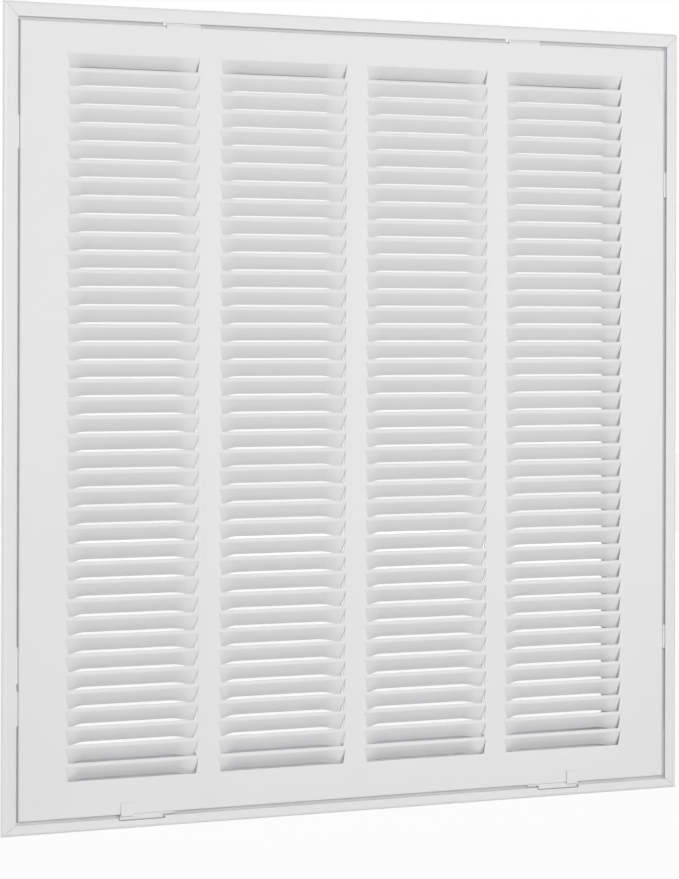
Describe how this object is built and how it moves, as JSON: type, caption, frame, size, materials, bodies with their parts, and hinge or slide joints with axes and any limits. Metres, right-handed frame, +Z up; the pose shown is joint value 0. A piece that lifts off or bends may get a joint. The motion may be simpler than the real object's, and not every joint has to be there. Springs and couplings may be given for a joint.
{
  "type": "return air filter grille",
  "caption": "Square return air filter grille: mitred sheet steel frame with a filter box and a stamped louvre door that hangs from its top edge and is held by slide latches.",
  "frame": {"origin": "centre of the four wall screw holes, on the wall plane behind the ledge", "axes": "+X to the right seen from the front, +Z up, -Y out of the front face, +Y into the duct"},
  "size_m": [0.5716, 0.0349, 0.5716],
  "materials": {
    "white_powder_coat": "satin white powder coat",
    "zinc_plated_steel": "zinc plated"
  },
  "bodies": {
    "frame": {"frame_rail_top": "white_powder_coat", "frame_rail_bottom": "white_powder_coat", "frame_rail_left": "white_powder_coat", "frame_rail_right": "white_powder_coat", "corner_key_top_left": "zinc_plated_steel", "corner_key_top_right": "zinc_plated_steel", "corner_key_bottom_left": "zinc_plated_steel", "corner_key_bottom_right": "zinc_plated_steel", "box_angle_top_left": "zinc_plated_steel", "box_angle_top_right": "zinc_plated_steel", "box_angle_bottom_left": "zinc_plated_steel", "box_angle_bottom_right": "zinc_plated_steel"},
    "door": {"louvre_door": "white_powder_coat", "latch_stud_left": "zinc_plated_steel", "latch_stud_right": "zinc_plated_steel"},
    "latch_left": {"latch_left": "white_powder_coat"},
    "latch_right": {"latch_right": "white_powder_coat"}
  },
  "joints": [
    {"name": "door_hinge", "type": "hinge", "parent": "frame", "child": "door", "pos_m": [0, -0.0032, 0.275], "axis": [-1, 0, 0], "range_deg": [0, 75]},
    {"name": "latch_left_slide", "type": "slide", "parent": "door", "child": "latch_left", "axis": [1, 0, 0], "range_m": [0, 0.02]},
    {"name": "latch_right_slide", "type": "slide", "parent": "door", "child": "latch_right", "axis": [-1, 0, 0], "range_m": [0, 0.02]}
  ]
}
